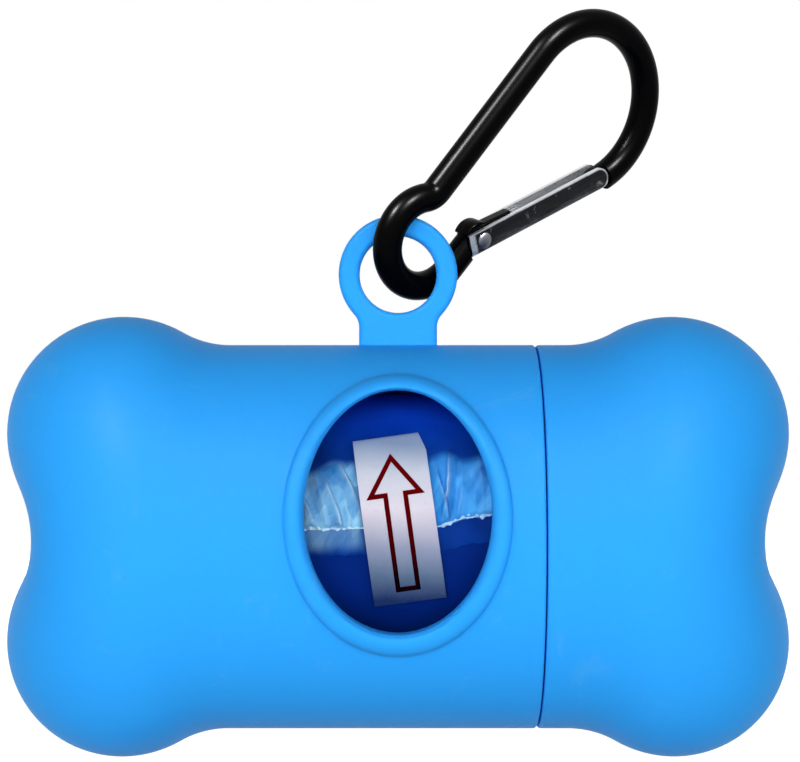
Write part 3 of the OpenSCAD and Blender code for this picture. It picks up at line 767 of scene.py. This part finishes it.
def threadTree():
    # Geometry Nodes: a tapered ridge that follows a screw line about X
    nodeTree = bpy.data.node_groups.new("screwThread", "GeometryNodeTree")
    inputs = {"Radius": "Float", "Depth": "Float", "Pitch": "Float", "Turns": "Float", "Width": "Float",
              "Steps": "Int", "Finish": "Material"}
    for name, kind in inputs.items():
        nodeTree.interface.new_socket(name=name, in_out="INPUT", socket_type="NodeSocket" + kind)
    nodeTree.interface.new_socket(name="Geometry", in_out="OUTPUT", socket_type="NodeSocketGeometry")
    tree = Tree(nodeTree)
    radius, depth, pitch, turned, width, steps, finish = [tree.node("NodeGroupInput", out=name) for name in inputs]
    share = tree.node("GeometryNodeInputIndex") / (steps - 1.0)
    turned = share * turned
    angle = turned * (2 * pi)
    spot = tree.node("ShaderNodeCombineXYZ", i0=turned * pitch, i1=angle.join("SINE") * radius,
                     i2=angle.join("COSINE") * radius)
    line = tree.node("GeometryNodeMeshToCurve", i0=tree.node("GeometryNodeMeshLine", Count=steps))
    line = tree.node("GeometryNodeSetPosition", Geometry=line, Position=spot)
    grow = 1 / thread["fadeShare"]  # the ridge fades in and out at its ends
    fade = (share * grow).atMost((1.0 - share) * grow).clamp(thread["leastWidth"], 1.0)
    line = tree.node("GeometryNodeSetCurveRadius", Curve=line, Radius=fade)
    ring = tree.node("GeometryNodeCurvePrimitiveCircle", Resolution=thread["sides"], Radius=width * 0.5)
    flat = tree.node("ShaderNodeCombineXYZ", i0=depth * 2.0 / width, i1=1.0, i2=1.0)
    ring = tree.node("GeometryNodeTransform", Geometry=ring, Scale=flat)
    ridge = tree.node("GeometryNodeCurveToMesh", **{
        "Curve": line, "Profile Curve": ring, "Scale": fade, "Fill Caps": True})
    ridge = tree.node("GeometryNodeSetShadeSmooth", Geometry=ridge)
    ridge = tree.node("GeometryNodeRealizeInstances", i0=ridge)
    ridge = tree.node("GeometryNodeSetMaterial", Geometry=ridge, Material=finish)
    tree.node("NodeGroupOutput", i0=ridge)
    return nodeTree


def threadSide(name, side, material, place):
    # runs the tree on an empty mesh and keeps the result as a plain piece
    values = {"Radius": thread[side + "Radius"] * mm, "Depth": thread[side + "Depth"] * mm,
              "Pitch": thread["pitch"] * mm, "Turns": thread["turns"], "Width": thread["width"] * mm,
              "Steps": thread["steps"], "Finish": material}
    holder = placed(name + "Holder", bpy.data.meshes.new(name + "Holder"))
    modifier = holder.modifiers.new("build", "NODES")
    modifier.node_group = screwTree
    for item in screwTree.interface.items_tree:
        if item.in_out == "INPUT":
            modifier[item.identifier] = values[item.name]
    mesh = plainMesh(holder)
    holder.modifiers.clear()
    bpy.data.objects.remove(holder)
    mesh.transform(place)
    return addPiece(name, mesh, material)


screwTree = threadTree()
threadPlace = Matrix.Translation(boneCentre + Vector((thread["startX"] * mm, 0, 0)))
settle(threadSide("neckThread", "neck", shellBlue, threadPlace), "housing")
settle(threadSide("capThread", "cap", capBlue, threadPlace @ Matrix.Rotation(pi, 4, "X")), "cap")
print("threads made")


roll = {
    "radius": 14.6, "length": 58.0, "coreR": 6.0, "z": -rollDrop, "filmR": 14.85, "wrap": 205.0,
    "sheet": 0.04, "layers": 34, "sides": 144,
}


def woundRollMesh():
    # wound film: ends with the slightly uneven edges of the layers
    rng = random.Random(7)
    count, layers = roll["sides"], roll["layers"]
    a = np.arange(count) * 2 * pi / count
    half = roll["length"] / 2

    def ring(x, r, wave=0.0, seed=0.0):
        wobble = r + wave * np.sin(3 * a + seed) * 0.5 + wave * np.sin(7 * a + 2 * seed) * 0.3
        return hoop(x, wobble, a) + (0, 0, roll["z"])

    rings = []
    radii = np.linspace(roll["coreR"] + 0.02, roll["radius"] - 0.05, layers)
    for end in (-1, 1):
        face = []
        for index, r in enumerate(radii):
            dip = rng.uniform(0.0, 0.35) if index % 2 else rng.uniform(0.15, 0.6)
            if index in (0, layers - 1):
                dip = 0.25
            face.append(ring(end * (half - dip) + 0.05 * np.sin(2 * a + index), r))
        rings += face[::-1] if end > 0 else face
        if end < 0:
            for x in np.linspace(-half + 0.6, half - 0.6, 60):
                rings.append(ring(x, roll["radius"] - 0.03, 0.025, x * 0.9))
    rings += [ring(x, roll["coreR"] + 0.02) for x in np.linspace(half - 1, -half + 1, 8)]
    return stackRings(rings, closed=True)


tuck = {  # the loose end: heights of its edge along the bone, how far it puffs out, and its hem
    "edgeX": [-29, -9.3, -3.0, 3.9, 6.3, 9.5, 29], "edgeZ": [1.7, 1.6, 1.75, 1.9, 2.7, 3.1, 2.2],
    "topX": [-9.5, -4.5, 4.5, 9.5], "topZ": [7.3, 8.6, 9.0, 8.6], "puff": 0.42, "below": 2.6, "haze": 0.42,
    "hemR": 0.105, "hemSides": 10, "hemStep": 0.07,
}
folds = [  # x and z of the top, x and z of the foot, widths of the slope and the steep side, height, glint
    (-6.7, 6.0, -5.4, 2.1, 1.1, 0.22, 0.7, 1.0), (-5.3, 7.7, -3.55, 3.3, 1.0, 0.22, 0.62, 0.8),
    (-7.9, 7.0, -6.9, 2.2, 0.9, 0.35, 0.4, 0.25), (-9.4, 5.6, -8.0, 1.9, 1.0, 0.3, 0.5, 0.45),
    (-4.1, 8.3, -3.0, 5.2, 0.7, 0.3, 0.3, 0.3), (-4.9, 4.4, -4.7, 2.0, 0.5, 0.25, 0.3, 0.5),
    (5.1, 8.9, 4.3, 3.2, -0.9, 0.2, 0.7, 0.9), (3.9, 7.4, 4.9, 2.3, 0.6, 0.25, 0.4, 0.4),
    (6.4, 7.4, 5.6, 2.9, -0.8, 0.3, 0.25, 0.15), (8.0, 8.7, 8.2, 3.2, 1.5, 0.8, 0.22, 0.1),
    (9.4, 7.4, 8.9, 3.2, 0.6, 0.4, 0.32, 0.3),
]


def easeBetween(value, low, high):
    t = min(1.0, max(0.0, (value - low) / (high - low)))
    return t * t * (3 - 2 * t)


def edgeHeight(x):
    return float(np.interp(x, tuck["edgeX"], tuck["edgeZ"]))


def onRoll(x, r, a):
    return x, -r * cos(a), r * sin(a) + roll["z"]


def foldLift(x, z):
    # height of the folds at a point of the loose end, and the painted glint along their ridges
    lift = glint = 0.0
    for x1, z1, x0, z0, slope, steep, height, shine in folds:
        share = (z - z0) / (z1 - z0)
        away = (x - x0 - (x1 - x0) * share - 0.12 * sin(5 * share)) * (1 if slope > 0 else -1)
        along = easeBetween(z, z0 - 0.7, z0 + 0.8) * (1 - easeBetween(z, z1 - 1.2, z1 + 0.8))
        side = max(0.0, 1 - (away / steep if away > 0 else -away / abs(slope)))
        lift += height * side * along
        glint = max(glint, shine * along * side ** 7 * (0.6 + 0.4 * sin(7 * share + x0)))
    return lift, glint


def looseBagMesh():
    # the outermost bag: a thin sheet over the roll that ends in a crinkled free edge
    half = roll["length"] / 2
    xs = np.concatenate([np.linspace(-half, -10.1, 30), np.linspace(-10, 10, 230), np.linspace(10.1, half, 30)])
    arcs = np.concatenate([np.linspace(radians(roll["wrap"]) * roll["filmR"], 9.2, 56),
                           np.linspace(9.0, -tuck["below"], 120)])
    slack, glints, rows, under = [], [], [], []
    for arc in arcs:
        row, low = [], []
        for x in xs:
            edgeZ = edgeHeight(x) + 0.05 * sin(2.9 * x) + 0.04 * sin(5.3 * x + 1)
            topZ = float(np.interp(x, tuck["topX"], tuck["topZ"])) + 0.25 * sin(1.7 * x)
            a = asin((edgeZ - roll["z"]) / roll["filmR"]) + arc / roll["filmR"]
            z = roll["filmR"] * sin(a) if arc < 12 else 99.0
            inWindow = 1 - easeBetween(abs(x), 8.9, 9.9)
            underLabel = 1 - easeBetween(abs(x - 0.1 + 0.137 * (z - 2.5)), 3.2, 4.2)
            band = easeBetween(arc, -0.1, 0.5) * (1 - easeBetween(z, topZ - 2.6, topZ))
            free = inWindow * (1 - underLabel)
            fold, glint = foldLift(x, z) if free > 0 and z < 11 else (0.0, 0.0)
            facet = abs(((0.42 * x + 0.23 * z) % 1) - 0.5) + 0.6 * abs(((-0.31 * x + 0.37 * z + 0.3) % 1) - 0.5)
            lift = free * (easeBetween(arc, -0.05, 0.35) * fold + band * (tuck["puff"] * 0.6 + 0.34 * facet))
            calm = 0.02 * sin(0.8 * x + 0.35 * arc) + 0.02 * sin(2.1 * x - 0.6 * arc)
            r = roll["filmR"] - 0.12 + lift + calm * (1 - band)
            row.append(onRoll(x, r, a))
            low.append(onRoll(x, r - roll["sheet"], a))
            haze = easeBetween(-x, 2.5, 3.5) * (1 - easeBetween(-arc, 1.2, 2.6)) if arc < 0 else 0.0
            pale = (1 - easeBetween(z, topZ - 0.9, topZ + 0.3)) * easeBetween(arc, -0.15, 0.05)
            slack.append(max(tuck["haze"] * free * haze, pale * (0.3 + 0.7 * free)))
            glints.append(min(1.0, glint * free * easeBetween(arc, -0.1, 0.2)))
        rows.append(row)
        under.append(low)
    points = [p for row in rows + under for p in row]
    return points, sheetFaces(len(rows), len(xs)), slack + slack, glints + glints


def hemMesh(offset, startX, endX, seed):
    # the free edge, pulled into a thin uneven cord of film
    rng = random.Random(seed)
    waves = [(rng.uniform(1.5, 9.0), rng.uniform(0, 6.3), rng.uniform(0.3, 1.0)) for _ in range(9)]
    rings = []
    steps = int((endX - startX) / tuck["hemStep"])
    for i in range(steps + 1):
        x = startX + (endX - startX) * i / steps
        wave = sum(h * sin(f * x + c) for f, c, h in waves) / 3
        knot = exp(-((x - 4.5) / 0.35) ** 2) + exp(-((x - 8.3) / 0.3) ** 2)
        ends = min(1.0, min(i, steps - i) / 6)
        covered = 1 - easeBetween(abs(x - 0.25), 2.9, 3.9)
        size = tuck["hemR"] * (0.35 + 1.3 * abs(wave) + 0.8 * knot) * (1 - 0.75 * covered) * (0.3 + 0.7 * ends)
        z = edgeHeight(x) + offset + 0.11 * wave * (1 - covered)
        a = asin((z - roll["z"]) / roll["filmR"])
        r = roll["filmR"] - 0.1 + size * 0.7 + 0.12 * (1 - covered) * max(0.0, wave)
        turned = [2 * pi * k / tuck["hemSides"] for k in range(tuck["hemSides"])]
        rings.append([onRoll(x, r + size * cos(b) * 0.8, a + size * 1.25 * sin(b) / r) for b in turned])
    return stackRings(rings, np.mean(rings[0], 0), np.mean(rings[-1], 0))


settle(builtPiece("woundRoll", woundRollMesh(), woundFilmFinish(), sharp=60), "roll", "bag_roll")
looseFilm = looseFilmFinish()


def filmPiece(name, shape, slack, glint, node=None):
    # a piece of loose film; slack and glint are stored at each point, for the finish to read
    piece = builtPiece(name, shape, looseFilm, sharp=80)
    for kind, values in (("slack", slack), ("glint", glint)):
        piece.data.attributes.new(kind, "FLOAT", "POINT").data.foreach_set("value", values)
    settle(piece, "roll", node)


*looseShape, slack, glints = looseBagMesh()
filmPiece("looseBag", looseShape, slack, glints, "bag_tail")
hems = {  # height over the free edge, where it starts and ends along the bone, seed
    "filmHem": (0.0, -10.4, 10.4, 5), "filmHemTwo": (0.42, 4.1, 9.9, 9), "filmHemThree": (0.3, -9.8, -5.4, 4),
}
for name, values in hems.items():
    shape = hemMesh(*values)
    # the hems are pale slack film with a painted glint along their whole length
    filmPiece(name, shape, [1.0] * len(shape[0]), [0.6] * len(shape[0]))
repaint("roll_core", cardFinish())
print("roll made")


label = {
    "width": 7.0, "height": 16.05, "lean": 7.8, "x": 0.13, "z": 2.5, "radius": 14.96, "thick": 0.1,
    "cutHeight": 1.7, "cutWidth": 0.55, "ripple": 0.035, "curl": 0.05,
}
arrow = {
    "tip": 6.0, "barbZ": 2.5, "barbHalf": 2.42, "shaftHalf": 0.97, "foot": -6.65, "line": 0.46, "x": -0.04,
    "height": 0.03, "sunk": -0.02, "step": 0.35,
}


def onLabel(u, v, lift=0.0):
    # point of the label: u across and v up it, seen from the front
    lean = radians(label["lean"])
    x = label["x"] + u * cos(lean) - v * sin(lean)
    z = label["z"] + u * sin(lean) + v * cos(lean)
    r = label["radius"] + lift
    return x, -sqrt(r * r - (z - roll["z"]) ** 2), z


def rippleAt(u, v):
    return label["ripple"] * sin(2.2 * v) * sin(1.1 * u + 1)


def labelMesh():
    across, up = 28, 64
    half, top = label["width"] / 2, label["height"] / 2
    points = []
    for lift in (0.0, -label["thick"]):
        for i in range(up + 1):
            v = label["height"] * (i / up - 0.5)
            # the top right corner is cut off
            cut = max(0.0, v - (top - label["cutHeight"])) / label["cutHeight"] * label["cutWidth"]
            for j in range(across + 1):
                u = -half + (2 * half - cut) * j / across
                points.append(onLabel(u, v, lift + (rippleAt(u, v) + label["curl"] * abs(u / half) ** 6)))
    return points, sheetFaces(up + 1, across + 1)


def arrowMesh():
    # printed outline of a plain arrow, as a thin raised line with mitred corners
    a, barb, shaft, barbZ = arrow, arrow["barbHalf"], arrow["shaftHalf"], arrow["barbZ"]
    path = [(0, a["tip"]), (barb, barbZ), (shaft, barbZ), (shaft, a["foot"]), (-shaft, a["foot"]), (-shaft, barbZ),
            (-barb, barbZ)]
    count = len(path)
    corners = []
    for i in range(count):
        before, here, after = Vector(path[i - 1]), Vector(path[i]), Vector(path[(i + 1) % count])
        n1, n2 = [Vector((-d.y, d.x)) for d in ((here - before).normalized(), (after - here).normalized())]
        mitre = (n1 + n2).normalized()
        corners.append((here, mitre * (a["line"] / 2 / max(0.3, mitre.dot(n1)))))
    rings = []
    for i in range(count):
        (p, m), (q, n) = corners[i], corners[(i + 1) % count]
        steps = max(2, int((q - p).length / a["step"]))
        for middle, side in [(p.lerp(q, s / steps), m.lerp(n, s / steps)) for s in range(steps)]:
            ring = []
            for away, lift in ((1, a["sunk"]), (1, a["height"]), (-1, a["height"]), (-1, a["sunk"])):
                spot = middle + side * away
                u = spot.x + a["x"]
                ring.append(onLabel(u, spot.y, lift + rippleAt(u, spot.y)))
            rings.append(ring)
    return stackRings(rings, closed=True)


settle(builtPiece("labelPaper", labelMesh(), paperFinish(), sharp=50), "roll", "arrow_label")
settle(builtPiece("labelArrow", arrowMesh(), inkFinish(), sharp=30), "roll")
print("label made")


clasp = {
    "rodD": 3.0, "eyeR": 4.7, "crownR": 8.8, "crownDist": 23.8, "spineLean": 14.8, "bendR": 2.2, "eyeEnd": 284.0,
    "noseAngle": -106.0, "rise": 41.4, "swing": 18.1, "roll": 37.3, "sides": 36,
}
gate = {
    "lean": 14.0, "pivotU": 5.8, "pivotV": 4.15, "length": 17.3, "tail": 1.85, "width": 2.2, "height": 2.6,
    "sheet": 0.4, "noseSlot": 3.2, "open": 25.0, "gap": 0.15, "bumpR": 1.9, "bump": (-0.6, 0.35), "tongueLen": 4.2,
    "tongueBack": 3.6,
}
rodR = clasp["rodD"] / 2
lean = radians(clasp["spineLean"])


def turnAbout(axis, angle):
    return Matrix.Rotation(radians(angle), 4, axis)


def hungMatrix():
    turn = turnAbout("Y", -clasp["rise"]) @ turnAbout("Z", clasp["swing"]) @ turnAbout("X", 90 + clasp["roll"])
    up = atan2((turn @ Vector((0, 1, 0))).z, (turn @ Vector((1, 0, 0))).z)
    inner = clasp["crownR"] - rodR
    top = Vector((clasp["crownDist"] + inner * cos(up), inner * sin(up), 0))
    return Matrix.Translation(-(turn @ top) * mm) @ turn  # the leash ring's place is the origin


claspPlace = hungMatrix()
gatePlace = claspPlace @ Matrix.Translation(Vector((gate["pivotU"], -gate["pivotV"], 0)) * mm)
gatePlace = gatePlace @ turnAbout("Z", -gate["lean"])


def rodStops():
    # middle line of the rod in its own plane: x, y, turn of the section and radius
    crown, eye, middle = clasp["crownR"], clasp["eyeR"], clasp["crownDist"]
    spine, out = (cos(lean), sin(lean)), (-sin(lean), cos(lean))
    bendR = clasp["bendR"]
    top = (middle + crown * out[0], crown * out[1])
    off = top[0] * out[0] + top[1] * out[1]
    along = sqrt((eye + bendR) ** 2 - (bendR + off) ** 2)
    bend = [along * spine[i] + (off + bendR) * out[i] for i in (0, 1)]
    bendAngle = degrees(atan2(bend[1], bend[0]))

    def arc(centre, radius, start, end, steps, first=0, flip=0.0):
        angles = [radians(start + (end - start) * i / steps) for i in range(first, steps + 1)]
        return [(centre[0] + radius * cos(a), centre[1] + radius * sin(a), a + flip, rodR) for a in angles]

    nose = radians(clasp["noseAngle"])
    stops = []
    for q in (88, 78, 66, 54, 42, 30, 15):  # the rounded nose
        q = radians(q)
        stops.append((middle + crown * cos(nose) + rodR * sin(q) * sin(nose),
                      crown * sin(nose) - rodR * sin(q) * cos(nose), nose, rodR * cos(q)))
    stops += arc((middle, 0), crown, clasp["noseAngle"], 90 + clasp["spineLean"], 80)
    bending = arc(bend, bendR, clasp["spineLean"] - 90, bendAngle - 180, 16, flip=pi)
    last, first = stops[-1], bending[0]
    for i in range(1, 16):  # the straight spine
        f = i / 16
        stops.append((last[0] + (first[0] - last[0]) * f, last[1] + (first[1] - last[1]) * f,
                      radians(90) + lean, rodR))
    a = radians(clasp["eyeEnd"])
    stops += bending + arc((0, 0), eye, bendAngle, clasp["eyeEnd"], 60, 1)
    tailSweep = hypot(gate["tail"], gate["height"] / 2) + gate["gap"]
    run = gate["pivotU"] - tailSweep / 2 - eye * cos(a)
    stops.append((eye * cos(a) - run * sin(a), eye * sin(a) + run * cos(a), a, rodR))
    return stops, tailSweep


def rodMesh(stops):
    rings = []
    for x, y, turn, r in stops:
        rings.append([(x + u * cos(turn), y + u * sin(turn), v) for u, v in circle(r, clasp["sides"])])
    points, faces = stackRings(rings)
    count = clasp["sides"]
    last = (len(rings) - 1) * count
    faces += [tuple(range(count)), tuple(last + k for k in range(count - 1, -1, -1))]
    return points, faces


def prism(outline, low, high):
    # points and faces of a straight prism between two heights
    count = len(outline)
    points = [(x, y, low) for x, y in outline] + [(x, y, high) for x, y in outline]
    faces = [(i, (i + 1) % count, (i + 1) % count + count, i + count) for i in range(count)]
    faces += [tuple(range(count - 1, -1, -1)), tuple(range(count, 2 * count))]
    return points, faces


def carve(piece, outline, low, high):
    # cuts a prism in the gate's frame out of a piece
    cutter = builtPiece("cutter", prism(outline, low, high), blackCoat, gatePlace)
    modifier = piece.modifiers.new("carve", "BOOLEAN")
    modifier.operation = "DIFFERENCE"
    modifier.solver = "EXACT"
    modifier.object = cutter
    mesh = plainMesh(piece)
    piece.modifiers.clear()
    old = piece.data
    mesh.name = piece.name
    piece.data = mesh
    bpy.data.meshes.remove(old)
    bpy.data.objects.remove(cutter)


blackCoat = blackCoatFinish()
stops, tailSweep = rodStops()
claspRod = builtPiece("claspRod", rodMesh(stops), blackCoat, claspPlace)
noseSweep = gate["length"] + gate["gap"]
half = clasp["rodD"]
tongueT = gate["width"] - 2 * gate["sheet"] - 2 * gate["gap"]
carve(claspRod, circle(tailSweep, 96), -half, half)  # room for the gate's tail at the eye
# room round the nose: both sides of the tongue-thin blade, and flush outside
startX = gate["length"] - (2 * rodR + gate["noseSlot"])
edge = [(sqrt(noseSweep ** 2 - y ** 2), y) for y in (-half + 2 * half * i / 24 for i in range(25))]
for side in (-1, 1):
    carve(claspRod, [(startX, half), (startX, -half)] + edge, *sorted((side * tongueT / 2, side * half)))
face = -gate["height"] / 2
flush = [(startX, face), (startX, -half)] + [(x, y) for x, y in edge if y < face]
carve(claspRod, flush + [(sqrt(noseSweep ** 2 - face ** 2), face)], -half, half)
claspRod.data.shade_smooth()
claspRod.data.set_sharp_from_angle(angle=radians(35))
settle(claspRod, "carabiner", "carabiner_frame")

# tongue inside the gate, with the bump that shows behind the pivot
tongueY = gate["sheet"] - gate["height"] / 2 + gate["gap"] / 2
tongueTop = gate["height"] / 2 + 0.2
wedge = radians(gate["open"] + 1)
wedgeY = gate["tongueLen"] * tan(wedge) + tongueY / cos(wedge)
wedgeX = tongueY / tan(wedge) - tongueY / sin(wedge)
(bx, by), bumpR = gate["bump"], gate["bumpR"]


def bumpPoints(angles):
    return [(bx + bumpR * cos(a), by + bumpR * sin(a)) for a in map(radians, angles)]


bumpArc = [(x, y) for x, y in bumpPoints(-38 + 250 * i / 40 for i in range(41))
           if y > tongueY and x > -gate["tongueBack"]]
outline = [(-1.6, tongueY), (wedgeX, tongueY), (gate["tongueLen"], wedgeY), (gate["tongueLen"], tongueTop)]
outline += [p for p in bumpArc if p[1] > tongueTop]
outline += [(x, y) for x, y in bumpArc if x < bx - 1.0 and tongueY + 0.1 < y <= tongueTop]
tongue = settle(flatPlate("claspTongue", [outline], tongueT, 0.1, blackCoat, gatePlace, 2), "carabiner")
shoulder = [(bx + bumpR * 0.62, tongueTop + 0.3)]
shoulder += [(x, y) for x, y in bumpPoints(range(0, 181, 6)) if y > tongueTop + max(0.0, x) * tan(wedge)]
shoulder.append((bx - sqrt(bumpR ** 2 - (tongueTop - by) ** 2), tongueTop))
shoulderPiece = settle(flatPlate("claspShoulder", [shoulder], gate["width"], 0.15, blackCoat, gatePlace, 3),
                       "carabiner")

# gate, rivet and spring
axes = [gatePlace.to_3x3() @ Vector(v) for v in ((1, 0, 0), (0, 1, 0), (0, 0, 1))]
repaint("carabiner_gate", gateFinish(gatePlace.translation, axes))
repaint("gate_spring", brightMetalFinish("springSteel", "#a9abaf", 0.3))
rivet = {  # radius and height over the gate's side, from the middle of the head to its rim and back in
    "sides": 40,
    "line": [(0.0, 0.2), (0.3, 0.195), (0.5, 0.17), (0.68, 0.12), (0.8, 0.06), (0.85, 0.0), (0.82, -0.02),
             (0.5, -0.03)],
}


def rivetMesh():
    half = gate["width"] / 2
    line = [(r, half + z) for r, z in rivet["line"]]
    line += [(r, -z) for r, z in reversed(line)]
    rings = [[(x, y, z) for x, y in circle(r, rivet["sides"])] for r, z in line[1:-1]]
    return stackRings(rings, (0, 0, line[0][1]), (0, 0, line[-1][1]))


rivetPiece = settle(builtPiece("gateRivetHeads", rivetMesh(), brightMetalFinish("rivetMetal", "#5d5f63", 0.34),
                               gatePlace, 50), "carabiner", "gate_rivet")
print("carabiner made")


studio = {
    "floorDrop": 62.0, "size": 6.0, "floor": (0.55, 0.55, 0.55, 1), "glow": 1.64, "glowShare": 0.6, "world": 0.05,
    "key": 5.5, "back": 5.0, "side": 0.85, "top": 0.05, "streak": 62.0, "sheen": 14.0, "rightShare": 0.7,
}
white = (1, 1, 1, 1)


def floorMaterial():
    finish = Finish("paleFloor")
    finish.set(studio["floor"], 0.9, 0.1)
    glow = finish.node("ShaderNodeEmission", Color=white, Strength=studio["glow"])
    shader = Wire(finish, finish.shader.outputs[0])
    mix = finish.node("ShaderNodeMixShader", i0=finish.looking() * studio["glowShare"], i1=shader, i2=glow)
    finish.plug(mix, finish.nodes["Material Output"].inputs[0])
    return finish.material


floor = bpy.data.meshes.new("floor")
s, z = studio["size"], boneCentre.z - studio["floorDrop"] * mm
floor.from_pydata([(-s, -s, z), (s, -s, z), (s, s, z), (-s, s, z)], [], [(0, 1, 2, 3)])
floor = addPiece("floor", floor, floorMaterial())

world = bpy.data.worlds.new("studio")
bpy.context.scene.world = world
world.use_nodes = True
sky = Tree(world.node_tree)
background = sky.nodes["Background"].inputs
sky.plug(sky.looking() * (1 - studio["world"]) + studio["world"], background["Strength"])
sky.plug(white, background["Color"])


def softLamp(name, place, target, size, energy, tall=None):
    lamp = bpy.data.lights.new(name, "AREA")
    lamp.shape = "RECTANGLE"
    lamp.size = size
    lamp.size_y = tall or size
    lamp.energy = energy
    piece = placed(name, lamp)
    piece.location = boneCentre + Vector(place)
    aim = boneCentre + Vector(target) - piece.location
    piece.rotation_euler = aim.to_track_quat("-Z", "Y").to_euler()
    return piece


broadLamps = [softLamp("key", (-0.04, -0.73, 0.13), (0, 0, 0), 0.9, studio["key"], 0.3),
              softLamp("back", (0.0, 0.73, 0.08), (0, 0, 0), 0.9, studio["back"], 0.3)]
for side in (-1, 1):
    broadLamps.append(softLamp(f"side{side}", (side * 0.6, -0.4, 0.08), (0, 0, 0), 0.3, studio["side"]))
for lamp in broadLamps:
    lamp.visible_glossy = False  # too broad for a highlight
claspLit = bpy.data.collections.new("claspLit")  # the strong highlights fall on the carabiner alone
for piece in (claspRod, tongue, shoulderPiece, rivetPiece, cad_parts["carabiner_gate"],
              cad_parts["gate_spring"]):
    claspLit.objects.link(piece)
for name in ("streak", "sheen"):
    energy = studio[name]
    for lamp in (softLamp(name + "Left", (-0.353, -0.487, 0.565), (0.02, 0, 0.04), 0.17, energy),
                 softLamp(name + "Right", (0.3, -0.55, 0.5), (0.03, 0, 0), 0.17, energy * studio["rightShare"])):
        lamp.visible_diffuse = False  # for the highlights alone
        if name == "streak":
            lamp.light_linking.receiver_collection = claspLit
softLamp("top", (0.0, 0.25, 0.6), (0, 0, 0.01), 0.4, studio["top"])

bpy.context.scene.view_settings.view_transform = "Standard"
print("studio made")
